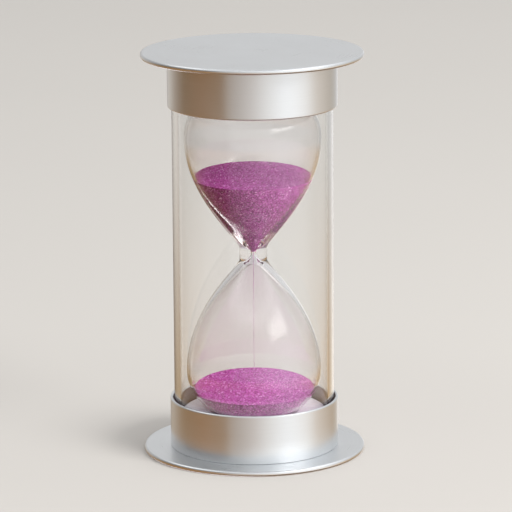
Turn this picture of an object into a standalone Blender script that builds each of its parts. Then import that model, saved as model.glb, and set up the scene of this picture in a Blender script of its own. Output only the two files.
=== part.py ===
"""A sand timer: two metal caps on a clear tube, with a two-bulb glass vial held between them.

Metres, +Z up. The origin is the centre of the base plate's underside, where the timer stands.
Both caps are the same set of pieces. The upper set hangs upside down from its own empty.
"""
import math

import bmesh
import bpy

MM = 0.001

# Driving dimensions
HEIGHT = 146.4 * MM
PLATE_RADIUS = 40.0 * MM
PLATE_THICKNESS = 1.8 * MM
COLLAR_RADIUS = 30.5 * MM
COLLAR_HEIGHT = 17.8 * MM
COLLAR_WALL = 1.0 * MM
TUBE_RADIUS = 29.0 * MM
TUBE_WALL = 2.1 * MM
GAP = 0.3 * MM

# Small roundings of the plate's rim and the cup's foot
PLATE_EDGE = 0.7 * MM
FOOT_CORNER = 0.3 * MM

# The bond disc sits in a shallow recess under the cup's floor
BOND_RADIUS = 24.0 * MM
BOND_THICKNESS = 0.6 * MM

# Heights of the cap's layers above the outer face of its plate
COLLAR_FOOT = PLATE_THICKNESS + GAP
BOND_FOOT = PLATE_THICKNESS + GAP
RECESS_ROOF = BOND_FOOT + BOND_THICKNESS + GAP
CUP_FLOOR = COLLAR_FOOT + COLLAR_WALL
RAISED_FLOOR = RECESS_ROOF + COLLAR_WALL
COLLAR_LIP = PLATE_THICKNESS + COLLAR_HEIGHT

# The vial's outline runs from the middle of its neck to the pole of each bulb. A waist is how far
# the neck's straight outside reaches, and a belly is its radius and its distance from the neck.
WAIST_RADIUS = 5.0 * MM
UPPER_WAIST = 1.7 * MM
LOWER_WAIST = 2.75 * MM
THROAT_RADIUS = 0.6 * MM
THROAT_HALF_LENGTH = 0.4 * MM
UPPER_BELLY = (24.8 * MM, 42.4 * MM)
LOWER_BELLY = (24.4 * MM, 43.4 * MM)
POLE_DISTANCE = 62.9 * MM
GLASS_WALL = 0.85 * MM

# How far each curve keeps the neck's direction, and where it starts to turn towards the belly
OUTER_NECK_HANDLE = 2.7 * MM
OUTER_SHOULDER = 21.2 * MM
INNER_NECK_HANDLE = 4.6 * MM
INNER_SHOULDER = 18.4 * MM

# Filling hole in the top of the vial, and its stopper
FILL_HOLE_RADIUS = 3.0 * MM
PLUG_HEAD_RADIUS = 4.4 * MM
PLUG_HEAD_THICKNESS = 1.4 * MM
PLUG_STEM_LENGTH = 3.0 * MM

# Foam pads, with a hole that clears the stopper
PAD_RADIUS = TUBE_RADIUS - TUBE_WALL - GAP
PAD_HOLE_RADIUS = PLUG_HEAD_RADIUS + 1.0 * MM
PAD_TOP = 14.6 * MM

# Sand, measured from the middle of the neck
UPPER_SAND_LEVEL = 28.1 * MM
LOWER_SAND_LEVEL = 50.2 * MM
SAND_TILT = math.radians(2.8)
RIM_CLEARANCE = 1.0 * MM
MOUND_HEIGHT = 1.6 * MM
MOUND_RADIUS = 9.2 * MM
DIMPLE_DEPTH = 0.8 * MM
DIMPLE_RADIUS = 3.2 * MM
STREAM_RADIUS = 0.3 * MM

# Facets
SHARP_ANGLE = math.radians(35)
ROUND_STEPS = 64
GLASS_STEPS = 36
SAND_STEPS = 32
SMALL_STEPS = 16
SIDE_POINTS = 10
END_POINTS = 5
SURFACE_ROWS = 7


def clear_scene():
    """Start from an empty scene."""
    for item in list(bpy.data.objects):
        bpy.data.objects.remove(item, do_unlink=True)


def material(name, color, roughness, metallic=0.0, transmission=0.0):
    """One Principled material."""
    made = bpy.data.materials.new(name)
    made.use_nodes = True
    shader = made.node_tree.nodes["Principled BSDF"]
    shader.inputs["Base Color"].default_value = (*color, 1.0)
    shader.inputs["Roughness"].default_value = roughness
    shader.inputs["Metallic"].default_value = metallic
    shader.inputs["Transmission Weight"].default_value = transmission
    return made


def make_materials():
    """The finishes, by name."""
    return {
        "metal": material("satin_aluminium", (0.60, 0.61, 0.62), 0.34, metallic=1.0),
        "tube": material("clear_tube", (0.98, 0.98, 0.98), 0.02, transmission=1.0),
        "glass": material("clear_glass", (0.99, 0.99, 0.99), 0.01, transmission=1.0),
        "sand": material("purple_sand", (0.42, 0.10, 0.36), 0.85),
        "foam": material("white_foam", (0.78, 0.76, 0.75), 0.9),
        "rubber": material("grey_rubber", (0.12, 0.12, 0.13), 0.7),
        "bond": material("bond_film", (0.80, 0.78, 0.70), 0.5),
    }


# ---------------------------------------------------------------- outlines, as (radius, height)

def arc(centre, radius, first, last, steps):
    """Points on an arc from one angle to another, in degrees, 0 pointing outwards and 90 up."""
    points = []
    for step in range(steps + 1):
        angle = math.radians(first + (last - first) * step / steps)
        points.append((centre[0] + radius * math.cos(angle), centre[1] + radius * math.sin(angle)))
    return points


def bezier(start, start_handle, end_handle, end, steps):
    """Points on a cubic curve whose handles lie along the axis, as (radius, distance)."""
    points = []
    for step in range(steps + 1):
        t = step / steps
        weights = ((1 - t) ** 3, 3 * t * (1 - t) ** 2, 3 * t * t * (1 - t), t ** 3)
        radii = (start[0], start[0], end[0], end[0])
        distances = (start[1], start[1] + start_handle, end[1] - end_handle, end[1])
        radius = sum(w * r for w, r in zip(weights, radii))
        distance = sum(w * d for w, d in zip(weights, distances))
        points.append((radius, distance))
    return points


def bulb_end(belly, pole_distance, hole_radius, steps):
    """The bulb's round end, from just past the belly to its pole or to the edge of a hole."""
    belly_radius, belly_distance = belly
    last = math.acos(hole_radius / belly_radius)
    points = []
    for step in range(1, steps + 1):
        angle = last * step / steps
        radius = belly_radius * math.cos(angle)
        if step == steps:
            radius = hole_radius
        points.append((radius, belly_distance + (pole_distance - belly_distance) * math.sin(angle)))
    return points


def outer_half(belly, waist, hole_radius=0.0):
    """Outside of one bulb, from the end of the waist to the pole."""
    side = bezier((WAIST_RADIUS, waist), OUTER_NECK_HANDLE, belly[1] - OUTER_SHOULDER, belly, SIDE_POINTS)
    return side + bulb_end(belly, POLE_DISTANCE, hole_radius, END_POINTS)


def inner_half(belly, hole_radius=0.0):
    """Inside of one bulb, from the throat to the pole."""
    inner_belly = (belly[0] - GLASS_WALL, belly[1])
    side = bezier((THROAT_RADIUS, THROAT_HALF_LENGTH), INNER_NECK_HANDLE, belly[1] - INNER_SHOULDER,
                  inner_belly, SIDE_POINTS)
    return side + bulb_end(inner_belly, POLE_DISTANCE - GLASS_WALL, hole_radius, END_POINTS)


def radius_at(outline, distance):
    """Radius of a bulb's outline at a distance from the neck, between its points."""
    for (radius_a, start), (radius_b, end) in zip(outline, outline[1:]):
        if start <= distance <= end:
            return radius_a + (radius_b - radius_a) * (distance - start) / (end - start)
    return outline[-1][0]


# ---------------------------------------------------------------- solids

def finish_object(name, shape, finish, parent):
    """Turn a bmesh into a smooth-shaded object with its faces pointing out."""
    bmesh.ops.recalc_face_normals(shape, faces=shape.faces)
    mesh = bpy.data.meshes.new(name)
    shape.to_mesh(mesh)
    shape.free()
    mesh.shade_smooth()
    mesh.set_sharp_from_angle(angle=SHARP_ANGLE)
    mesh.materials.append(finish)
    made = bpy.data.objects.new(name, mesh)
    made.parent = parent
    bpy.context.collection.objects.link(made)
    return made


def add_rings(shape, rings, closed):
    """Join rows of vertices with faces. A row of one vertex is a point on the axis."""
    pairs = list(zip(rings, rings[1:]))
    if closed:
        pairs.append((rings[-1], rings[0]))
    for upper, lower in pairs:
        steps = max(len(upper), len(lower))
        if steps == 1:
            continue
        for step in range(steps):
            after = (step + 1) % steps
            corners = [upper[step % len(upper)], upper[after % len(upper)],
                       lower[after % len(lower)], lower[step % len(lower)]]
            shape.faces.new(list(dict.fromkeys(corners)))


def turned(name, outline, steps, finish, parent):
    """A solid of revolution from a closed outline of (radius, height) points."""
    shape = bmesh.new()
    rings = []
    for radius, height in outline:
        count = steps if radius > 0 else 1
        ring = []
        for step in range(count):
            angle = 2 * math.pi * step / count
            ring.append(shape.verts.new((radius * math.cos(angle), radius * math.sin(angle), height)))
        rings.append(ring)
    add_rings(shape, rings, closed=True)
    return finish_object(name, shape, finish, parent)


# ---------------------------------------------------------------- caps, each above its plate's face

def make_plate(name, finish, parent):
    """Round plate with a rounded edge."""
    centre = PLATE_RADIUS - PLATE_EDGE
    outline = [(0, PLATE_THICKNESS)]
    outline += arc((centre, PLATE_THICKNESS - PLATE_EDGE), PLATE_EDGE, 90, 0, 3)
    outline += arc((centre, PLATE_EDGE), PLATE_EDGE, 0, -90, 3)
    outline += [(0, 0)]
    return turned(name, outline, ROUND_STEPS, finish, parent)


def make_collar(name, finish, parent):
    """Drawn cup: a raised floor over the bond disc, a straight wall and a rounded lip."""
    lip = COLLAR_WALL / 2
    inner = COLLAR_RADIUS - COLLAR_WALL
    recess = BOND_RADIUS + GAP
    step = recess + COLLAR_WALL
    outline = [(0, RAISED_FLOOR), (step, RAISED_FLOOR), (step, CUP_FLOOR), (inner, CUP_FLOOR)]
    outline += arc((COLLAR_RADIUS - lip, COLLAR_LIP - lip), lip, 180, 0, 4)
    outline += arc((COLLAR_RADIUS - FOOT_CORNER, COLLAR_FOOT + FOOT_CORNER), FOOT_CORNER, 0, -90, 2)
    outline += [(recess, COLLAR_FOOT), (recess, RECESS_ROOF), (0, RECESS_ROOF)]
    return turned(name, outline, ROUND_STEPS, finish, parent)


def make_bond_disc(name, finish, parent):
    """Adhesive disc between the plate and the cup."""
    outline = [(0, BOND_FOOT + BOND_THICKNESS), (BOND_RADIUS, BOND_FOOT + BOND_THICKNESS),
               (BOND_RADIUS, BOND_FOOT), (0, BOND_FOOT)]
    return turned(name, outline, GLASS_STEPS, finish, parent)


def make_foam_pad(name, belly, waist, finish, parent):
    """Soft ring that fills the tube's end and cradles the bulb in a dished seat."""
    neck_height = HEIGHT / 2
    wall = outer_half(belly, waist)
    edge_distance = neck_height - PAD_TOP
    edge_radius = radius_at(wall, edge_distance) + GAP
    pole_height = neck_height - POLE_DISTANCE
    foot = RAISED_FLOOR + GAP
    seat = [(radius + GAP, neck_height - distance - GAP) for radius, distance in wall
            if distance > edge_distance and radius > PAD_HOLE_RADIUS]
    outline = [(edge_radius, PAD_TOP), (PAD_RADIUS, PAD_TOP), (PAD_RADIUS, foot), (PAD_HOLE_RADIUS, foot)]
    outline += [(PAD_HOLE_RADIUS, pole_height - GAP)] + seat[::-1]
    return turned(name, outline, GLASS_STEPS, finish, parent)


def make_cap(side, belly, waist, finishes, parent):
    """Plate, adhesive, cup and pad of one end."""
    make_plate(f"{side}_plate", finishes["metal"], parent)
    make_bond_disc(f"{side}_bond_disc", finishes["bond"], parent)
    make_collar(f"{side}_collar", finishes["metal"], parent)
    make_foam_pad(f"{side}_foam_pad", belly, waist, finishes["foam"], parent)


# ---------------------------------------------------------------- tube, vial and stopper

def make_outer_tube(finishes, parent):
    """Straight clear tube that stands on both cup floors."""
    foot = CUP_FLOOR + GAP
    inner = TUBE_RADIUS - TUBE_WALL
    outline = [(inner, HEIGHT - foot), (TUBE_RADIUS, HEIGHT - foot), (TUBE_RADIUS, foot), (inner, foot)]
    return turned("outer_tube", outline, ROUND_STEPS, finishes["tube"], parent)


def downwards(outline):
    """Distances from the neck read as depths below it."""
    return [(radius, -distance) for radius, distance in outline]


def make_vial(finishes, parent):
    """Blown glass with two bulbs, a throat, and a filling hole at the upper pole."""
    outline = outer_half(UPPER_BELLY, UPPER_WAIST, FILL_HOLE_RADIUS)[::-1]
    outline += downwards(outer_half(LOWER_BELLY, LOWER_WAIST))
    outline += downwards(inner_half(LOWER_BELLY))[::-1]
    outline += inner_half(UPPER_BELLY, FILL_HOLE_RADIUS)
    return turned("glass_vial", outline, GLASS_STEPS, finishes["glass"], parent)


def make_fill_plug(finishes, parent):
    """Stopper with a head outside the glass and a stem through the hole."""
    seat = POLE_DISTANCE + GAP
    top = seat + PLUG_HEAD_THICKNESS
    stem = FILL_HOLE_RADIUS - GAP
    outline = [(0, top), (PLUG_HEAD_RADIUS, top), (PLUG_HEAD_RADIUS, seat), (stem, seat),
               (stem, seat - PLUG_STEM_LENGTH), (0, seat - PLUG_STEM_LENGTH)]
    return turned("fill_plug", outline, SMALL_STEPS, finishes["rubber"], parent)


# ---------------------------------------------------------------- sand

def slope_height(y):
    """Height that the tilted sand surface gains towards the back."""
    return y * math.tan(SAND_TILT)


def mound_height(radius):
    """Low heap in the middle of the lower sand, with a dimple where the stream lands."""
    heap = MOUND_HEIGHT * math.exp(-(radius / MOUND_RADIUS) ** 2)
    dimple = DIMPLE_DEPTH * math.exp(-(radius / DIMPLE_RADIUS) ** 2)
    return heap - dimple


def rim_height(wall, level, angle, sense):
    """Height where the tilted surface meets the glass at one angle. sense is 1 above the neck."""
    height = sense * level
    for _ in range(6):
        radius = radius_at(wall, abs(height)) - GAP
        height = sense * level + slope_height(radius * math.sin(angle))
    return height


def side_rows(wall, level, sense):
    """The wall's own (radius, distance) points below the sand's surface, from the bottom up."""
    reach = slope_height(radius_at(wall, level)) + RIM_CLEARANCE
    rows = [(radius, distance) for radius, distance in wall if radius > GAP]
    if sense > 0:
        return [row for row in rows if row[1] < level - reach]
    return [row for row in rows if row[1] > level + reach][::-1]


def make_sand(name, wall, level, sense, surface, finishes, parent):
    """Sand that fills the glass from the bottom of a bulb up to a tilted surface.

    wall is the glass's inside and level is the surface's distance from the neck. sense is 1
    above the neck and -1 below it, and surface gives the height added at a radius.
    """
    shape = bmesh.new()
    rows = side_rows(wall, level, sense)
    foot_distance = rows[0][1] if sense > 0 else wall[-1][1] - GAP
    rings = [[shape.verts.new((0, 0, sense * foot_distance))]]
    angles = [2 * math.pi * step / SAND_STEPS for step in range(SAND_STEPS)]
    for radius, distance in rows:
        ring = []
        for angle in angles:
            place = ((radius - GAP) * math.cos(angle), (radius - GAP) * math.sin(angle), sense * distance)
            ring.append(shape.verts.new(place))
        rings.append(ring)
    rims = [rim_height(wall, level, angle, sense) for angle in angles]
    for row in range(SURFACE_ROWS):
        share = 1 - row / SURFACE_ROWS
        ring = []
        for angle, rim in zip(angles, rims):
            rim_radius = radius_at(wall, abs(rim)) - GAP
            radius = rim_radius * share
            y = radius * math.sin(angle)
            height = sense * level + slope_height(y) + surface(radius) - surface(rim_radius)
            ring.append(shape.verts.new((radius * math.cos(angle), y, height)))
        rings.append(ring)
    rings.append([shape.verts.new((0, 0, sense * level + surface(0)))])
    add_rings(shape, rings, closed=False)
    return finish_object(name, shape, finishes["sand"], parent)


def flat_surface(_radius):
    """The upper sand drains evenly, so its surface has no heap."""
    return 0.0


def make_stream(finishes, parent):
    """Thread of sand from the throat to just above the heap."""
    top = THROAT_HALF_LENGTH - GAP
    foot = -LOWER_SAND_LEVEL + mound_height(0) + GAP
    outline = [(0, top), (STREAM_RADIUS, top), (STREAM_RADIUS, foot), (0, foot)]
    return turned("sand_stream", outline, SMALL_STEPS, finishes["sand"], parent)


def make_empty(name, height, flip=0.0, parent=None):
    """A placing point on the axis, turned about X by flip."""
    empty = bpy.data.objects.new(name, None)
    empty.location = (0, 0, height)
    empty.rotation_euler = (flip, 0, 0)
    empty.parent = parent
    bpy.context.collection.objects.link(empty)
    return empty


def main():
    """Build every piece."""
    clear_scene()
    finishes = make_materials()
    base = make_empty("base_centre", 0)
    top = make_empty("top_centre", HEIGHT, flip=math.pi, parent=base)
    neck = make_empty("neck_centre", HEIGHT / 2, parent=base)
    make_cap("bottom", LOWER_BELLY, LOWER_WAIST, finishes, base)
    make_cap("top", UPPER_BELLY, UPPER_WAIST, finishes, top)
    make_outer_tube(finishes, base)
    make_vial(finishes, neck)
    make_fill_plug(finishes, neck)
    upper_wall = inner_half(UPPER_BELLY)
    lower_wall = inner_half(LOWER_BELLY)
    make_sand("upper_sand", upper_wall, UPPER_SAND_LEVEL, 1, flat_surface, finishes, neck)
    make_sand("lower_sand", lower_wall, LOWER_SAND_LEVEL, -1, mound_height, finishes, neck)
    make_stream(finishes, neck)


main()
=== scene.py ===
"""The looks of the sand timer: turned metal caps, clear tube, blown vial, coloured sand and foam."""
import math
import random

import bmesh
import bpy
from mathutils import Matrix, Vector, noise


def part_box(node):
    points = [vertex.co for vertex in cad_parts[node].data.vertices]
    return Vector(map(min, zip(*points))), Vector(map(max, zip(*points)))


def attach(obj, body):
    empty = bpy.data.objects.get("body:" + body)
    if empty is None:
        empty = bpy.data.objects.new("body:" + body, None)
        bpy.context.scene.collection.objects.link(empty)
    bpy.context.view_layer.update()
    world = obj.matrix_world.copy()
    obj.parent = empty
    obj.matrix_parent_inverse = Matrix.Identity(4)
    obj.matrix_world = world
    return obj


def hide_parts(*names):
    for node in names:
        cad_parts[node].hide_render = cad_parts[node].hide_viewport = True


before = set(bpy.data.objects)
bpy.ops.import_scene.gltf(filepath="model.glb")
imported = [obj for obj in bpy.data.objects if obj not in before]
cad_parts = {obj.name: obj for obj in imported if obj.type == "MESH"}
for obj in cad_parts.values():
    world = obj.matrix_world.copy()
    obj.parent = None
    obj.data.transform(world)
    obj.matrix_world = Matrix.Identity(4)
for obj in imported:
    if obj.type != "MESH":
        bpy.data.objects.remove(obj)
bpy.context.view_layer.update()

MM = 0.001

# ---------------------------------------------------------------- sizes, read from the frame

# What the CAD leaves free between neighbouring pieces
CAD_GAP = 0.3 * MM

plate_low, plate_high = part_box("bottom_plate")
collar_low, collar_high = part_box("bottom_collar")
tube_low, tube_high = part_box("outer_tube")
vial_low, vial_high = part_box("glass_vial")
pad_low, pad_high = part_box("bottom_foam_pad")
_, bond_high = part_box("bottom_bond_disc")
plug_low, plug_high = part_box("fill_plug")
_, top_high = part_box("top_plate")

HEIGHT = top_high[2]
PLATE_RADIUS = plate_high[0]
PLATE_THICKNESS = plate_high[2] - plate_low[2]
COLLAR_RADIUS = collar_high[0]
COLLAR_LIP = collar_high[2]
COLLAR_WALL = 1.0 * MM
TUBE_RADIUS = tube_high[0]
TUBE_WALL = 2.1 * MM
TUBE_FOOT = tube_low[2]
NECK_HEIGHT = HEIGHT / 2
PAD_RADIUS = pad_high[0]
PAD_FOOT = pad_low[2]
PAD_TOP = pad_high[2]
BOND_RADIUS = bond_high[0]
PLUG_HEAD_RADIUS = plug_high[0]
PLUG_FOOT = plug_low[2]
PLUG_TOP = plug_high[2]

# The drawn cup's floor
SEAM = 0.02 * MM
RECESS_ROOF = bond_high[2] + CAD_GAP
RAISED_FLOOR = RECESS_ROOF + COLLAR_WALL
CUP_FLOOR = collar_low[2] + COLLAR_WALL

# The vial, measured from the middle of its neck. A belly is its radius and its distance from it.
WAIST_RADIUS = 5.0 * MM
UPPER_WAIST = 1.7 * MM
LOWER_WAIST = 2.75 * MM
THROAT_RADIUS = 0.6 * MM
THROAT_HALF_LENGTH = 0.4 * MM
UPPER_BELLY = (vial_high[0], 42.4 * MM)
LOWER_BELLY = (24.4 * MM, 43.4 * MM)
POLE_DISTANCE = NECK_HEIGHT - vial_low[2]
GLASS_WALL = 0.85 * MM
OUTER_NECK_HANDLE = 2.7 * MM
OUTER_SHOULDER = 21.2 * MM
INNER_NECK_HANDLE = 4.6 * MM
INNER_SHOULDER = 18.4 * MM
FILL_HOLE_RADIUS = 3.0 * MM

# The sand. Its outermost grains touch the glass, and the rest stand a hair off it.
SKIN_GAP = 0.06 * MM
SKIN_PRESS = 0.03 * MM
SKIN_STEP = 0.4 * MM
RIM_CLEARANCE = 0.4 * MM
RIM_PASSES = 6
UPPER_SAND_LEVEL = 28.1 * MM
LOWER_SAND_LEVEL = 50.2 * MM
SAND_TILT = math.radians(2.8)
MOUND_HEIGHT = 1.6 * MM
MOUND_RADIUS = 9.2 * MM
DIMPLE_DEPTH = 0.8 * MM
DIMPLE_RADIUS = 3.2 * MM
WAVE_HEIGHT = 0.22 * MM
WAVE_FREQUENCY = 160.0
TOOTH_HEIGHT = 0.10 * MM
TOOTH_FREQUENCY = 1500.0
STREAM_RADIUS = 0.3 * MM
GRAIN_RADIUS = 0.10 * MM
STREAM_GRAINS = 220
STREAM_STRETCH = 1.25

# Facets
ROUND_STEPS = 192
SAND_STEPS = 300
SURFACE_ROWS = 80
SMALL_STEPS = 48
SIDE_POINTS = 60
END_POINTS = 24
LONG_STRETCH = 3.0 * MM
HOLD = 0.05 * MM


# ---------------------------------------------------------------- outlines, as (radius, height)

def arc(centre, radius, first, last, steps):
    """Points on an arc from one angle to another, in degrees, 0 pointing outwards and 90 up."""
    points = []
    for step in range(steps + 1):
        angle = math.radians(first + (last - first) * step / steps)
        points.append((centre[0] + radius * math.cos(angle), centre[1] + radius * math.sin(angle)))
    return points


def bezier(start, start_handle, end_handle, end, steps):
    """Points on a cubic curve whose handles lie along the axis, as (radius, distance)."""
    points = []
    for step in range(steps + 1):
        t = step / steps
        weights = ((1 - t) ** 3, 3 * t * (1 - t) ** 2, 3 * t * t * (1 - t), t ** 3)
        radii = (start[0], start[0], end[0], end[0])
        distances = (start[1], start[1] + start_handle, end[1] - end_handle, end[1])
        radius = sum(w * r for w, r in zip(weights, radii))
        distance = sum(w * d for w, d in zip(weights, distances))
        points.append((radius, distance))
    return points


def bulb_end(belly, pole_distance, hole_radius, steps):
    """The bulb's round end, from just past the belly to its pole or to the edge of a hole."""
    belly_radius, belly_distance = belly
    last = math.acos(hole_radius / belly_radius)
    points = []
    for step in range(1, steps + 1):
        angle = last * step / steps
        radius = hole_radius if step == steps else belly_radius * math.cos(angle)
        points.append((radius, belly_distance + (pole_distance - belly_distance) * math.sin(angle)))
    return points


def outer_half(belly, waist, hole_radius=0.0):
    """Outside of one bulb, from the end of the waist to the pole."""
    side = bezier((WAIST_RADIUS, waist), OUTER_NECK_HANDLE, belly[1] - OUTER_SHOULDER, belly, SIDE_POINTS)
    return side + bulb_end(belly, POLE_DISTANCE, hole_radius, END_POINTS)


def inner_half(belly, hole_radius=0.0):
    """Inside of one bulb, from the throat to the pole."""
    inner_belly = (belly[0] - GLASS_WALL, belly[1])
    side = bezier((THROAT_RADIUS, THROAT_HALF_LENGTH), INNER_NECK_HANDLE, belly[1] - INNER_SHOULDER,
                  inner_belly, SIDE_POINTS)
    return side + bulb_end(inner_belly, POLE_DISTANCE - GLASS_WALL, hole_radius, END_POINTS)


def at_neck(outline, sense):
    """Distances from the neck as heights, above it for a sense of 1 and below it for -1."""
    return [(radius, NECK_HEIGHT + sense * distance) for radius, distance in outline]


def flipped(outline):
    """A bottom outline turned over for the top of the timer, still running the same way round."""
    return [(radius, HEIGHT - height) for radius, height in outline][::-1]


def radius_at(outline, distance):
    """Radius of a bulb's outline at a distance from the neck, between its points."""
    for (radius_a, start), (radius_b, end) in zip(outline, outline[1:]):
        if start <= distance <= end:
            return radius_a + (radius_b - radius_a) * (distance - start) / (end - start)
    return outline[-1][0]


# ---------------------------------------------------------------- meshes

def finish_piece(name, shape, finish, slot, *replaced, sharp=35):
    """Turn a bmesh into a smooth-shaded piece that stands for its CAD nodes."""
    bmesh.ops.recalc_face_normals(shape, faces=shape.faces)
    mesh = bpy.data.meshes.new(name)
    shape.to_mesh(mesh)
    shape.free()
    mesh.shade_smooth()
    mesh.set_sharp_from_angle(angle=math.radians(sharp))
    mesh.materials.append(finish)
    piece = bpy.data.objects.new(name, mesh)
    bpy.context.collection.objects.link(piece)
    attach(piece, "root")
    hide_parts(*replaced)
    return piece


def add_rings(shape, rings, closed):
    """Join rows of vertices with faces. A row of one vertex is a point on the axis."""
    pairs = list(zip(rings, rings[1:]))
    if closed:
        pairs.append((rings[-1], rings[0]))
    for upper, lower in pairs:
        steps = max(len(upper), len(lower))
        if steps == 1:
            continue
        for step in range(steps):
            after = (step + 1) % steps
            corners = [upper[step % len(upper)], upper[after % len(upper)],
                       lower[after % len(lower)], lower[step % len(lower)]]
            shape.faces.new(list(dict.fromkeys(corners)))


def held_flat(outline):
    """Add points close to both ends of each long stretch, so that a round edge can't bend its shading."""
    points = []
    for start, end in zip(outline, outline[1:] + outline[:1]):
        points.append(start)
        length = math.dist(start, end)
        if length > LONG_STRETCH:
            for share in (HOLD / length, 1 - HOLD / length):
                points.append(tuple(a + (b - a) * share for a, b in zip(start, end)))
    return points


def turned(outline, steps):
    """A solid of revolution from a closed outline of (radius, height) points."""
    shape = bmesh.new()
    rings = []
    for radius, height in held_flat(outline):
        count = steps if radius > 0 else 1
        ring = []
        for step in range(count):
            angle = 2 * math.pi * step / count
            ring.append(shape.verts.new((radius * math.cos(angle), radius * math.sin(angle), height)))
        rings.append(ring)
    add_rings(shape, rings, closed=True)
    return shape


# ---------------------------------------------------------------- materials

class Finish:
    """A node material under construction: one Principled shader and the nodes that feed it."""

    def __init__(self, name, **values):
        self.material = bpy.data.materials.new(name)
        self.material.use_nodes = True
        self.tree = self.material.node_tree
        self.shader = self.tree.nodes["Principled BSDF"]
        for socket, value in values.items():
            self.shader.inputs[socket.replace("_", " ")].default_value = value
        coordinates = self.tree.nodes.new("ShaderNodeTexCoord")
        self.place = coordinates.outputs["Object"]

    def node(self, kind, **inputs):
        """Add a node. An input is a number, a colour or another node's output."""
        made = self.tree.nodes.new(kind)
        for socket, value in inputs.items():
            self.set(made.inputs[socket.replace("_", " ")], value)
        return made

    def set(self, socket, value):
        """Link an output to a socket, or write a plain value into it."""
        if isinstance(value, bpy.types.NodeSocket):
            self.tree.links.new(value, socket)
        else:
            socket.default_value = value

    def maths(self, operation, *values):
        """Output of a Math node."""
        made = self.tree.nodes.new("ShaderNodeMath")
        made.operation = operation
        for socket, value in zip(made.inputs, values):
            self.set(socket, value)
        return made.outputs[0]

    def vector(self, x, y, z):
        """Output of three numbers joined to a vector."""
        return self.node("ShaderNodeCombineXYZ", X=x, Y=y, Z=z).outputs[0]

    def radius(self, x, y):
        """Distance from the timer's axis."""
        square = self.maths("ADD", self.maths("MULTIPLY", x, x), self.maths("MULTIPLY", y, y))
        return self.maths("SQRT", square)

    def mixed(self, share, first, second):
        """Colour between two others: the first at a share of 0 and the second at 1."""
        made = self.tree.nodes.new("ShaderNodeMix")
        made.data_type = "RGBA"
        self.set(made.inputs["Factor"], share)
        self.set(made.inputs[6], first)
        self.set(made.inputs[7], second)
        return made.outputs[2]

    def split(self):
        """The X, Y and Z of the piece's own coordinates."""
        return self.node("ShaderNodeSeparateXYZ", Vector=self.place).outputs

    def noise(self, scale, detail, vector=None):
        """Grey noise output."""
        made = self.node("ShaderNodeTexNoise", Vector=vector or self.place, Scale=scale, Detail=detail)
        return made.outputs["Fac"]

    def cells(self, scale):
        """A Voronoi node: one random colour and one distance for each cell."""
        return self.node("ShaderNodeTexVoronoi", Vector=self.place, Scale=scale)

    def ramp(self, source, *stops):
        """Colour output of a ramp through (place, colour) stops."""
        made = self.node("ShaderNodeValToRGB", Fac=source)
        elements = made.color_ramp.elements
        for element, (place, color) in zip(elements, stops[:2]):
            element.position = place
            element.color = (*color, 1.0)
        for place, color in stops[2:]:
            elements.new(place).color = (*color, 1.0)
        return made.outputs["Color"]

    def remap(self, source, low, high, from_low=0.0, from_high=1.0):
        """A number moved from one range to another."""
        made = self.node("ShaderNodeMapRange", Value=source)
        for socket, value in zip(list(made.inputs)[1:5], (from_low, from_high, low, high)):
            socket.default_value = value
        return made.outputs["Result"]

    def bump(self, height, distance, strength, normal=None):
        """Normal output of a Bump node, over an earlier normal if there is one."""
        made = self.node("ShaderNodeBump", Height=height, Distance=distance, Strength=strength)
        if normal is not None:
            self.set(made.inputs["Normal"], normal)
        return made.outputs["Normal"]

    def feed(self, **outputs):
        """Link outputs to the shader's sockets and hand back the material."""
        for socket, output in outputs.items():
            self.set(self.shader.inputs[socket.replace("_", " ")], output)
        return self.material


def shaded(color, share):
    """A colour made darker or lighter."""
    return tuple(channel * share for channel in color)


METAL_COLOR = (0.80, 0.815, 0.83)
# Painted shade inside the cup's hollow: its darker, browner colour, the width of its fade, and the extra
# roughness there
HOLLOW_SHADE_COLOR = (0.34, 0.275, 0.275)
HOLLOW_SHADE_EDGE = 0.05 * MM
HOLLOW_DULLNESS = 0.15
GLOSS_SPREAD = 0.04


def metal_finish(name, grain_vector, roughness, stretch, relief, painted_shade_radius=None):
    """Satin anodised aluminium, with tool lines along the grain vector that stretch its gloss.

    Inside a given radius the colour is painted darker and browner as painted shade for the cup's hollow,
    and the metal is rougher.
    """
    finish = Finish(name, Metallic=1.0, Anisotropic=stretch, Anisotropic_Rotation=0.25)
    x, y, z = finish.split()
    lines = finish.noise(scale=1.0, detail=3.0, vector=grain_vector(finish, x, y, z))
    cloud = finish.noise(scale=55.0, detail=3.0)
    tangent = finish.tree.nodes.new("ShaderNodeTangent")
    tangent.direction_type = "RADIAL"
    tangent.axis = "Z"
    shade = finish.maths("MULTIPLY", finish.maths("ADD", lines, cloud), 0.5)
    color = finish.ramp(shade, (0.30, shaded(METAL_COLOR, 0.96)), (0.70, shaded(METAL_COLOR, 1.03)))
    gloss = finish.remap(shade, roughness - GLOSS_SPREAD, roughness + GLOSS_SPREAD,
                         from_low=0.3, from_high=0.7)
    # Painted shade: inside the radius the colour is painted darker and browner, and the metal is rougher
    if painted_shade_radius:
        painted_shade = finish.ramp(shade, (0.30, HOLLOW_SHADE_COLOR), (0.70, shaded(HOLLOW_SHADE_COLOR, 1.15)))
        inside = finish.remap(finish.radius(x, y), 1.0, 0.0, painted_shade_radius, painted_shade_radius + HOLLOW_SHADE_EDGE)
        color = finish.mixed(inside, color, painted_shade)
        gloss = finish.maths("ADD", gloss, finish.maths("MULTIPLY", inside, HOLLOW_DULLNESS))
    return finish.feed(Base_Color=color, Roughness=gloss, Tangent=tangent.outputs[0],
                       Normal=finish.bump(lines, relief, strength=0.4))


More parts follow.
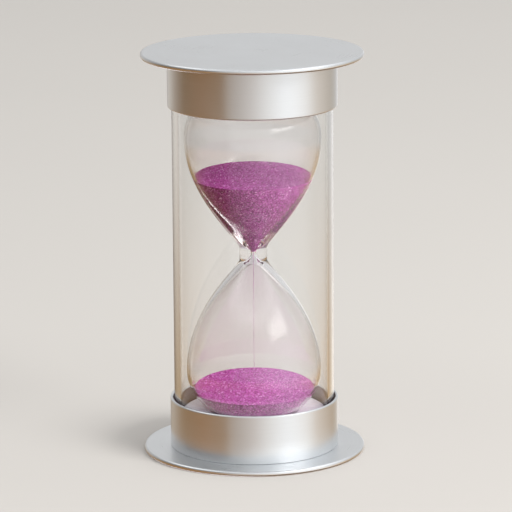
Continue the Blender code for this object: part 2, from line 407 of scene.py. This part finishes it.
def brushed_finish():
    """Cup wall: fine lines that run round the cup."""
    along = 60.0
    across = 9000.0

    def grain(finish, x, y, z):
        return finish.vector(finish.maths("MULTIPLY", x, along), finish.maths("MULTIPLY", y, along),
                             finish.maths("MULTIPLY", z, across))

    # The cup's hollow gets painted shade: a darker, browner colour inside its inner wall
    return metal_finish("brushed_aluminium", grain, roughness=0.33, stretch=0.7, relief=0.003 * MM,
                        painted_shade_radius=COLLAR_RADIUS - 0.99 * COLLAR_WALL)


def turned_finish():
    """Plate: fine lathe lines in circles round the middle."""
    along = 40.0
    across = 2600.0

    def grain(finish, x, y, _z):
        return finish.vector(finish.maths("MULTIPLY", finish.radius(x, y), across),
                             finish.maths("MULTIPLY", x, along), finish.maths("MULTIPLY", y, along))

    return metal_finish("turned_aluminium", grain, roughness=0.30, stretch=0.15, relief=0.0003 * MM)


def glass_finish(name, color, ripple, haze):
    """Clear glass with faint ripples and a slight haze of handling."""
    finish = Finish(name, Transmission_Weight=1.0, IOR=1.5, Base_Color=(*color, 1.0))
    waves = finish.noise(scale=70.0, detail=1.0)
    smudges = finish.noise(scale=160.0, detail=4.0)
    return finish.feed(Roughness=finish.remap(smudges, 0.0, haze, from_low=0.45, from_high=0.8),
                       Normal=finish.bump(waves, ripple, strength=0.4))


def sand_finish():
    """Fine dyed sand: purples that vary at random; a few grains are glossier, and the palest are painted
    glints.
    """
    finish = Finish("purple_sand", Specular_IOR_Level=0.12)
    grains = finish.cells(scale=2900.0)
    clusters = finish.noise(scale=900.0, detail=3.0)
    grain = finish.node("ShaderNodeSeparateColor", Color=grains.outputs["Color"]).outputs[0]
    shade = finish.maths("ADD", finish.maths("MULTIPLY", grain, 0.85),
                         finish.maths("MULTIPLY", clusters, 0.3))
    # The last stop's pale pink is a painted glint on the lightest grains
    color = finish.ramp(shade, (0.20, (0.17, 0.009, 0.12)), (0.60, (0.36, 0.040, 0.275)),
                        (0.93, (0.55, 0.11, 0.45)), (1.02, (0.85, 0.45, 0.80)))
    gloss = finish.remap(grain, low=0.9, high=0.25, from_low=0.88, from_high=1.0)
    bump = finish.bump(grains.outputs["Distance"], distance=0.12 * MM, strength=0.5)
    bump = finish.bump(clusters, distance=0.2 * MM, strength=0.4, normal=bump)
    return finish.feed(Base_Color=color, Roughness=gloss, Normal=bump)


def foam_finish():
    """Fine-celled white foam."""
    finish = Finish("white_foam", Sheen_Weight=0.15)
    pores = finish.cells(scale=1900.0)
    cloud = finish.noise(scale=300.0, detail=3.0)
    color = finish.ramp(cloud, (0.3, (0.72, 0.70, 0.72)), (0.7, (0.84, 0.82, 0.84)))
    bump = finish.bump(pores.outputs["Distance"], distance=0.18 * MM, strength=0.7)
    return finish.feed(Base_Color=color, Roughness=finish.remap(cloud, 0.85, 1.0), Normal=bump)


def rubber_finish():
    """Moulded grey rubber."""
    finish = Finish("grey_rubber")
    grain = finish.noise(scale=1500.0, detail=3.0)
    color = finish.ramp(grain, (0.3, (0.10, 0.10, 0.11)), (0.7, (0.16, 0.16, 0.17)))
    return finish.feed(Base_Color=color, Roughness=finish.remap(grain, 0.55, 0.8),
                       Normal=finish.bump(grain, distance=0.03 * MM, strength=0.5))


def bond_finish():
    """Milky adhesive film with a fibre carrier."""
    finish = Finish("bond_film")
    fibres = finish.noise(scale=900.0, detail=5.0)
    color = finish.ramp(fibres, (0.35, (0.70, 0.67, 0.58)), (0.65, (0.84, 0.82, 0.74)))
    return finish.feed(Base_Color=color, Roughness=finish.remap(fibres, 0.4, 0.65),
                       Normal=finish.bump(fibres, distance=0.02 * MM, strength=0.5))


# ---------------------------------------------------------------- caps

def plate_outline():
    """Bottom plate with a rounded rim."""
    edge = 0.75 * MM
    centre = PLATE_RADIUS - edge
    outline = [(0, PLATE_THICKNESS), (COLLAR_RADIUS, PLATE_THICKNESS)]
    outline += arc((centre, PLATE_THICKNESS - edge), edge, 90, 0, steps=8)
    outline += arc((centre, edge), edge, 0, -90, steps=8)
    return outline + [(COLLAR_RADIUS, 0), (0, 0)]


def collar_outline():
    """Bottom cup: raised floor, straight wall, round lip, tight foot, recess for the adhesive."""
    foot = PLATE_THICKNESS + SEAM
    corner = 0.25 * MM
    slant = 0.3 * MM
    lip = COLLAR_WALL / 2
    inner = COLLAR_RADIUS - COLLAR_WALL
    recess = BOND_RADIUS + CAD_GAP
    step = recess + COLLAR_WALL
    outline = [(0, RAISED_FLOOR), (step, RAISED_FLOOR), (step + slant, CUP_FLOOR), (inner, CUP_FLOOR)]
    outline += arc((COLLAR_RADIUS - lip, COLLAR_LIP - lip), lip, 180, 0, steps=12)
    outline += arc((COLLAR_RADIUS - corner, foot + corner), corner, 0, -90, steps=6)
    return outline + [(recess, foot), (recess, RECESS_ROOF), (0, RECESS_ROOF)]


def pad_outline(belly, waist):
    """Foam ring with soft corners and a dished seat for the bulb."""
    seat_gap = 0.25 * MM
    corner = 0.6 * MM
    clearance = 1.0 * MM
    wall = outer_half(belly, waist)
    hole = PLUG_HEAD_RADIUS + clearance
    edge_radius = radius_at(wall, NECK_HEIGHT - PAD_TOP) + 2 * seat_gap
    seat = [(radius + seat_gap, NECK_HEIGHT - distance - seat_gap) for radius, distance in wall
            if distance > belly[1] and hole < radius < edge_radius - corner]
    outline = arc((edge_radius + corner, PAD_TOP - corner), corner, 150, 90, steps=4)
    outline += arc((PAD_RADIUS - corner, PAD_TOP - corner), corner, 90, 0, steps=5)
    outline += arc((PAD_RADIUS - corner, PAD_FOOT + corner), corner, 0, -90, steps=5)
    return outline + [(hole, PAD_FOOT), (hole, seat[-1][1] - seat_gap)] + seat[::-1]


def make_caps(finishes):
    """Plate, cup and pad at both ends. The adhesive discs keep their CAD shape."""
    for side, turn, belly, waist in (("bottom", lambda line: line, LOWER_BELLY, LOWER_WAIST),
                                     ("top", flipped, UPPER_BELLY, UPPER_WAIST)):
        finish_piece(f"{side}_plate_turned", turned(turn(plate_outline()), ROUND_STEPS),
                     finishes["turned"], "metal", f"{side}_plate")
        finish_piece(f"{side}_cup_brushed", turned(turn(collar_outline()), ROUND_STEPS),
                     finishes["brushed"], "metal", f"{side}_collar")
        pad = finish_piece(f"{side}_pad_foam", turned(turn(pad_outline(belly, waist)), ROUND_STEPS),
                           finishes["foam"], "foam", f"{side}_foam_pad")
        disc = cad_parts[f"{side}_bond_disc"]
        disc.data.materials.clear()
        disc.data.materials.append(finishes["bond"])


# ---------------------------------------------------------------- tube, vial and stopper

def let_light_through(piece):
    """Clear glass casts no shadow on what it holds."""
    piece.visible_shadow = False
    piece.visible_diffuse = False


def make_tube(finish):
    """Polished tube with fire-rounded ends."""
    edge = 0.4 * MM
    outside = TUBE_RADIUS - edge
    inside = TUBE_RADIUS - TUBE_WALL + edge
    top = tube_high[2] - edge
    foot = TUBE_FOOT + edge
    outline = []
    for centre, first in (((outside, top), 90), ((outside, foot), 0), ((inside, foot), -90),
                          ((inside, top), 180)):
        outline += arc(centre, edge, first, first - 90, steps=4)
    tube = finish_piece("outer_tube_clear", turned(outline, ROUND_STEPS), finish, "tube", "outer_tube")
    let_light_through(tube)


def make_vial(finish):
    """Blown glass: two bulbs, a thick waist with a fine throat, and a filling hole at the top."""
    outline = at_neck(outer_half(UPPER_BELLY, UPPER_WAIST, FILL_HOLE_RADIUS), 1)[::-1]
    outline += at_neck(outer_half(LOWER_BELLY, LOWER_WAIST), -1)
    outline += at_neck(inner_half(LOWER_BELLY), -1)[::-1]
    outline += at_neck(inner_half(UPPER_BELLY, FILL_HOLE_RADIUS), 1)
    vial = finish_piece("glass_vial_blown", turned(outline, ROUND_STEPS), finish, "vial", "glass_vial")
    let_light_through(vial)


def make_plug(finish):
    """Stopper with rounded edges."""
    edge = 0.4 * MM
    seat = vial_high[2] + CAD_GAP
    stem = FILL_HOLE_RADIUS - CAD_GAP
    outline = [(0, PLUG_TOP)] + arc((PLUG_HEAD_RADIUS - edge, PLUG_TOP - edge), edge, 90, 0, steps=4)
    outline += [(PLUG_HEAD_RADIUS, seat), (stem, seat)]
    outline += arc((stem - edge, PLUG_FOOT + edge), edge, 0, -90, steps=4) + [(0, PLUG_FOOT)]
    finish_piece("fill_plug_rubber", turned(outline, SMALL_STEPS), finish, "rubber", "fill_plug")


# ---------------------------------------------------------------- sand

def slope_height(y):
    """Height that the tilted sand surface gains towards the back."""
    return y * math.tan(SAND_TILT)


def mound_height(radius):
    """Low heap in the middle of the lower sand, with a dimple where the stream lands."""
    heap = MOUND_HEIGHT * math.exp(-(radius / MOUND_RADIUS) ** 2)
    dimple = DIMPLE_DEPTH * math.exp(-(radius / DIMPLE_RADIUS) ** 2)
    return heap - dimple


def flat_height(_radius):
    """The upper sand has no heap."""
    return 0.0


def grain_height(x, y):
    """Uneven surface of loose sand: soft waves and a fine tooth."""
    waves = noise.noise(Vector((x, y, 0.0)) * WAVE_FREQUENCY) * WAVE_HEIGHT
    tooth = noise.noise(Vector((x, y, 0.01)) * TOOTH_FREQUENCY) * TOOTH_HEIGHT
    return waves + tooth


def rim_height(wall, level, angle, sense):
    """Height where the tilted surface meets the glass at one angle, from the neck's middle."""
    height = sense * level
    for _ in range(RIM_PASSES):
        radius = radius_at(wall, abs(height)) + SKIN_PRESS
        height = sense * level + slope_height(radius * math.sin(angle))
    return height


def finely_split(outline):
    """An outline with its long stretches cut into steps of about the skin's step."""
    points = [outline[0]]
    for start, end in zip(outline, outline[1:]):
        parts = math.ceil(math.dist(start, end) / SKIN_STEP)
        for part in range(1, parts + 1):
            points.append(tuple(a + (b - a) * part / parts for a, b in zip(start, end)))
    return points


def skin_rows(wall, level, sense):
    """The wall's (radius, distance) points below the sand's surface, from the bottom up."""
    reach = slope_height(radius_at(wall, level)) + RIM_CLEARANCE
    rows = [(radius, distance) for radius, distance in finely_split(wall) if radius > SKIN_GAP]
    if sense > 0:
        return [row for row in rows if row[1] < level - reach]
    return [row for row in rows if row[1] > level + reach][::-1]


def skin_rings(shape, rows, angles, sense):
    """Rows of grains along the glass, some of them pressed against it."""
    dice = random.Random(11)
    rings = []
    for radius, distance in rows:
        ring = []
        for angle in angles:
            skin = radius + dice.uniform(-SKIN_GAP, SKIN_PRESS)
            place = (skin * math.cos(angle), skin * math.sin(angle), NECK_HEIGHT + sense * distance)
            ring.append(shape.verts.new(place))
        rings.append(ring)
    return rings


def surface_rings(shape, wall, level, angles, sense, surface):
    """Rows of the tilted, grainy surface, from its rim inwards."""
    rims = [rim_height(wall, level, angle, sense) for angle in angles]
    rings = []
    for row in range(SURFACE_ROWS):
        share = 1 - row / SURFACE_ROWS
        ring = []
        for angle, rim in zip(angles, rims):
            rim_radius = radius_at(wall, abs(rim)) + SKIN_PRESS
            radius = rim_radius * share
            x = radius * math.cos(angle)
            y = radius * math.sin(angle)
            height = sense * level + slope_height(y) + surface(radius) - surface(rim_radius)
            if row > 0:
                height += grain_height(x, y)
            ring.append(shape.verts.new((x, y, NECK_HEIGHT + height)))
        rings.append(ring)
    return rings


def make_sand(name, node, wall, level, sense, surface, finish):
    """Sand that fills the glass from the bottom of a bulb up to a tilted, grainy surface.

    wall is the glass's inside and level is the surface's distance from the neck. sense is 1
    above the neck and -1 below it, and surface gives the height added at a radius.
    """
    shape = bmesh.new()
    angles = [2 * math.pi * step / SAND_STEPS for step in range(SAND_STEPS)]
    rows = skin_rows(wall, level, sense)
    foot = rows[0][1] if sense > 0 else wall[-1][1] + SKIN_PRESS
    rings = [[shape.verts.new((0, 0, NECK_HEIGHT + sense * foot))]]
    rings += skin_rings(shape, rows, angles, sense)
    rings += surface_rings(shape, wall, level, angles, sense, surface)
    rings.append([shape.verts.new((0, 0, NECK_HEIGHT + sense * level + surface(0)))])
    add_rings(shape, rings, closed=False)
    finish_piece(name, shape, finish, "sand", node, sharp=60)


def make_stream(finish):
    """Falling grains, which draw apart as they speed up on their way down."""
    dice = random.Random(7)
    top = NECK_HEIGHT + THROAT_HALF_LENGTH - CAD_GAP
    foot = NECK_HEIGHT - LOWER_SAND_LEVEL + mound_height(0) + GRAIN_RADIUS
    shape = bmesh.new()
    for grain in range(STREAM_GRAINS):
        share = (grain + 0.5) / STREAM_GRAINS
        size = GRAIN_RADIUS * dice.uniform(0.7, 1.2)
        spread = (STREAM_RADIUS - GRAIN_RADIUS) * math.sqrt(dice.random()) * (0.5 + 0.5 * share)
        angle = dice.uniform(0, 2 * math.pi)
        height = top - GRAIN_RADIUS + (foot - top + 2 * GRAIN_RADIUS) * share ** STREAM_STRETCH
        place = Vector((spread * math.cos(angle), spread * math.sin(angle), height))
        bmesh.ops.create_icosphere(shape, subdivisions=1, radius=size, matrix=Matrix.Translation(place))
    finish_piece("falling_grains", shape, finish, "sand", "sand_stream", sharp=20)


# ---------------------------------------------------------------- stage, lights and camera

# Light from round the timer as (bearing in degrees, colour) stops, in layers: straight above,
# overhead, the room's walls, its darker furniture at table height, the table, and the shade
# under the timer with a glare at the back left
ZENITH_LIGHT = ((-180, (0.56, 0.575, 0.59)), (180, (0.56, 0.575, 0.59)))
OVERHEAD_LIGHT = ((-180, (1.75, 1.78, 1.80)), (180, (1.75, 1.78, 1.80)))
WALL_LIGHT = ((-180, (0.65, 0.65, 0.65)), (-160, (0.58, 0.58, 0.58)), (-140, (0.43, 0.43, 0.43)),
              (-80, (0.36, 0.36, 0.36)), (-40, (0.40, 0.40, 0.40)), (-18, (0.53, 0.52, 0.51)),
              (0, (0.70, 0.70, 0.70)), (30, (0.90, 0.92, 0.94)), (60, (0.98, 1.01, 1.04)),
              (100, (0.86, 0.88, 0.90)), (140, (0.70, 0.71, 0.72)), (180, (0.67, 0.67, 0.67)))
ROOM_LIGHT = ((-180, (0.60, 0.58, 0.56)), (-173, (0.10, 0.06, 0.04)), (-166, (0.62, 0.59, 0.55)),
              (-146, (0.66, 0.62, 0.57)), (-130, (0.45, 0.40, 0.36)), (-105, (0.10, 0.08, 0.06)),
              (-75, (0.045, 0.035, 0.03)), (-40, (0.07, 0.065, 0.06)), (-31, (0.50, 0.54, 0.56)),
              (0, (0.84, 0.89, 0.92)), (20, (1.08, 1.13, 1.16)), (50, (1.15, 1.20, 1.24)),
              (75, (1.06, 1.08, 1.09)), (95, (0.73, 0.72, 0.69)), (130, (0.54, 0.53, 0.50)),
              (158, (0.62, 0.61, 0.60)), (168, (1.20, 1.18, 1.16)), (178, (0.60, 0.58, 0.56)))
TABLE_LIGHT = ((-180, (0.25, 0.18, 0.12)), (-172, (0.14, 0.08, 0.04)), (-160, (0.40, 0.28, 0.16)),
               (-146, (0.40, 0.28, 0.16)), (-122, (0.44, 0.25, 0.09)), (-72, (0.70, 0.33, 0.09)),
               (-40, (0.70, 0.38, 0.14)), (-24, (0.60, 0.38, 0.21)), (0, (0.82, 0.60, 0.44)),
               (20, (1.20, 1.08, 0.94)), (48, (1.52, 1.48, 1.42)), (80, (1.27, 1.15, 1.00)),
               (98, (0.90, 0.66, 0.44)), (139, (0.50, 0.29, 0.10)), (158, (0.70, 0.60, 0.48)),
               (168, (1.60, 1.50, 1.40)), (178, (0.40, 0.30, 0.22)))
SHADE_LIGHT = ((-180, (0.26, 0.16, 0.10)), (-174, (2.60, 2.40, 2.45)), (-158, (2.60, 2.40, 2.45)),
               (-150, (0.26, 0.16, 0.09)), (180, (0.26, 0.16, 0.10)))

# Each border between two layers, as the height of the view ray where it starts and ends
LAYERS = ((SHADE_LIGHT, None), (TABLE_LIGHT, (-0.60, -0.32)), (ROOM_LIGHT, (-0.28, -0.18)),
          (WALL_LIGHT, (-0.02, 0.14)), (OVERHEAD_LIGHT, (0.55, 0.85)), (ZENITH_LIGHT, (0.78, 0.90)))


FLOOR_RADIUS = 6.0
FLOOR_STEPS = 96
FLOOR_COLOR = (0.545, 0.516, 0.482)


def floor_finish(color):
    """Matte floor that stays out of reflections, also where a reflection passes on through glass."""
    finish = Finish("pale_floor", Roughness=0.9)
    cloud = finish.noise(scale=3.0, detail=2.0)
    path = finish.tree.nodes.new("ShaderNodeLightPath")
    return finish.feed(Base_Color=finish.ramp(cloud, (0.3, shaded(color, 0.985)), (0.7, color)),
                       Alpha=finish.maths("LESS_THAN", path.outputs["Glossy Depth"], 0.5))


def make_floor():
    """Wide pale floor. The room's own light stands for it in metal and glass and under the sand."""
    shape = bmesh.new()
    bmesh.ops.create_circle(shape, cap_ends=True, radius=FLOOR_RADIUS, segments=FLOOR_STEPS)
    mesh = bpy.data.meshes.new("floor")
    shape.to_mesh(mesh)
    shape.free()
    mesh.materials.append(floor_finish(FLOOR_COLOR))
    floor = bpy.data.objects.new("floor", mesh)
    bpy.context.collection.objects.link(floor)
    floor.visible_diffuse = False


def bearing_ramp(tree, share, stops):
    """Colour that depends on the bearing in degrees: 0 towards the front, 90 to the right."""
    ramp = tree.nodes.new("ShaderNodeValToRGB")
    tree.links.new(share, ramp.inputs["Fac"])
    elements = ramp.color_ramp.elements
    for index, (degrees, color) in enumerate(stops):
        place = (degrees + 180) / 360
        element = elements[index] if index < 2 else elements.new(place)
        element.position = place
        element.color = (*color, 1.0)
    return ramp.outputs["Color"]


def blend_by_height(tree, height, low, high, below, above):
    """Mix two colours: the first below one height of the view ray and the second above another."""
    share = tree.nodes.new("ShaderNodeMapRange")
    share.interpolation_type = "SMOOTHSTEP"
    share.inputs["From Min"].default_value = low
    share.inputs["From Max"].default_value = high
    tree.links.new(height, share.inputs["Value"])
    mix = tree.nodes.new("ShaderNodeMix")
    mix.data_type = "RGBA"
    tree.links.new(share.outputs["Result"], mix.inputs["Factor"])
    tree.links.new(below, mix.inputs[6])
    tree.links.new(above, mix.inputs[7])
    return mix.outputs[2]


def make_world():
    """Room light that changes round the timer: a dark side, a window side, warmth from the table."""
    world = bpy.data.worlds.new("studio")
    bpy.context.scene.world = world
    world.use_nodes = True
    tree = world.node_tree
    direction = tree.nodes.new("ShaderNodeTexCoord")
    split = tree.nodes.new("ShaderNodeSeparateXYZ")
    tree.links.new(direction.outputs["Generated"], split.inputs[0])
    forward = tree.nodes.new("ShaderNodeMath")
    forward.operation = "MULTIPLY"
    forward.inputs[1].default_value = -1.0
    tree.links.new(split.outputs["Y"], forward.inputs[0])
    bearing = tree.nodes.new("ShaderNodeMath")
    bearing.operation = "ARCTAN2"
    tree.links.new(split.outputs["X"], bearing.inputs[0])
    tree.links.new(forward.outputs[0], bearing.inputs[1])
    share = tree.nodes.new("ShaderNodeMapRange")
    share.inputs["From Min"].default_value = -math.pi
    share.inputs["From Max"].default_value = math.pi
    tree.links.new(bearing.outputs[0], share.inputs["Value"])
    light = None
    for stops, border in LAYERS:
        layer = bearing_ramp(tree, share.outputs["Result"], stops)
        light = blend_by_height(tree, split.outputs["Z"], *border, light, layer) if border else layer
    tree.links.new(light, tree.nodes["Background"].inputs["Color"])


def make_light(name, place, aim, width, height, power):
    """A soft rectangular white lamp that points at a place."""
    lamp = bpy.data.lights.new(name, "AREA")
    lamp.shape = "RECTANGLE"
    lamp.size = width
    lamp.size_y = height
    lamp.energy = power
    light = bpy.data.objects.new(name, lamp)
    light.location = place
    light.rotation_euler = (Vector(aim) - Vector(place)).to_track_quat("-Z", "Y").to_euler()
    light.visible_glossy = False
    light.visible_transmission = False
    bpy.context.collection.objects.link(light)


def make_lights():
    """A window-like soft box at the right, and weak fill from above."""
    middle = (0.0, 0.0, NECK_HEIGHT)
    make_light("window", (1.90, -1.24, 1.19), middle, width=1.3, height=1.3, power=76.0)
    make_light("ceiling", (-0.1, -0.2, 1.6), middle, width=1.6, height=1.6, power=2.5)


def make_card(name, place, aim, width, height, color, strength, softness):
    """A glowing card that shows only in reflections and through glass, and fades towards its edges.

    softness is the share of its half width and half height that the fade takes.
    """
    half = 0.5
    shape = bmesh.new()
    bmesh.ops.create_grid(shape, x_segments=8, y_segments=8, size=half)
    mesh = bpy.data.meshes.new(name)
    shape.to_mesh(mesh)
    shape.free()
    card = bpy.data.objects.new(name, mesh)
    card.scale = (width, height, 1.0)
    card.location = place
    card.rotation_euler = (Vector(aim) - Vector(place)).to_track_quat("Z", "Y").to_euler()
    bpy.context.collection.objects.link(card)
    finish = Finish(name, Base_Color=(0.0, 0.0, 0.0, 1.0), Specular_IOR_Level=0.0)
    x, y, _ = finish.split()
    fades = []
    for along in (x, y):
        away = finish.maths("ABSOLUTE", along)
        fades.append(finish.remap(away, 1.0, 0.0, from_low=half - half * softness, from_high=half))
    finish.feed(Emission_Color=(*color, 1.0), Emission_Strength=strength,
                Alpha=finish.maths("MULTIPLY", *fades))
    mesh.materials.append(finish.material)
    card.visible_camera = False
    card.visible_diffuse = False
    card.visible_shadow = False


def make_cards():
    """The window as the glass mirrors it."""
    middle = (0.0, 0.0, NECK_HEIGHT)
    make_card("window_card", (1.10, -0.72, 0.96), middle, width=1.4, height=0.6,
              color=(1.0, 1.0, 1.0), strength=3.6, softness=0.5)


# Where the camera stands, and how far it looks down and leans, in degrees
CAMERA_PLACE = (0.945 * MM, -1320.2 * MM, 371.1 * MM)
CAMERA_LENS = 263.55
CAMERA_DIP = 12.789
CAMERA_LEAN = -0.366


def make_camera():
    """Long lens that looks down at the timer from the front."""
    camera = bpy.data.cameras.new("camera")
    camera.sensor_width = 36.0
    camera.lens = CAMERA_LENS
    camera.clip_start = 0.01
    eye = bpy.data.objects.new("camera", camera)
    eye.location = CAMERA_PLACE
    eye.rotation_euler = (math.radians(90 - CAMERA_DIP), 0.0, 0.0)
    eye.rotation_euler.rotate_axis("Z", math.radians(CAMERA_LEAN))
    bpy.context.collection.objects.link(eye)
    bpy.context.scene.camera = eye


def main():
    """Dress the frame, light it and look at it."""
    make_camera()
    finishes = {
        "brushed": brushed_finish(),
        "turned": turned_finish(),
        "tube": glass_finish("clear_tube", (0.99, 0.99, 0.985), ripple=0.01 * MM, haze=0.02),
        "vial": glass_finish("blown_glass", (0.99, 0.98, 0.985), ripple=0.03 * MM, haze=0.03),
        "sand": sand_finish(),
        "foam": foam_finish(),
        "rubber": rubber_finish(),
        "bond": bond_finish(),
    }
    make_caps(finishes)
    make_tube(finishes["tube"])
    make_vial(finishes["vial"])
    make_plug(finishes["rubber"])
    make_sand("upper_sand_heap", "upper_sand", inner_half(UPPER_BELLY), UPPER_SAND_LEVEL, sense=1,
              surface=flat_height, finish=finishes["sand"])
    make_sand("lower_sand_heap", "lower_sand", inner_half(LOWER_BELLY), LOWER_SAND_LEVEL, sense=-1,
              surface=mound_height, finish=finishes["sand"])
    make_stream(finishes["sand"])
    make_floor()
    make_world()
    make_lights()
    make_cards()
    bpy.context.scene.view_settings.view_transform = "Standard"


main()
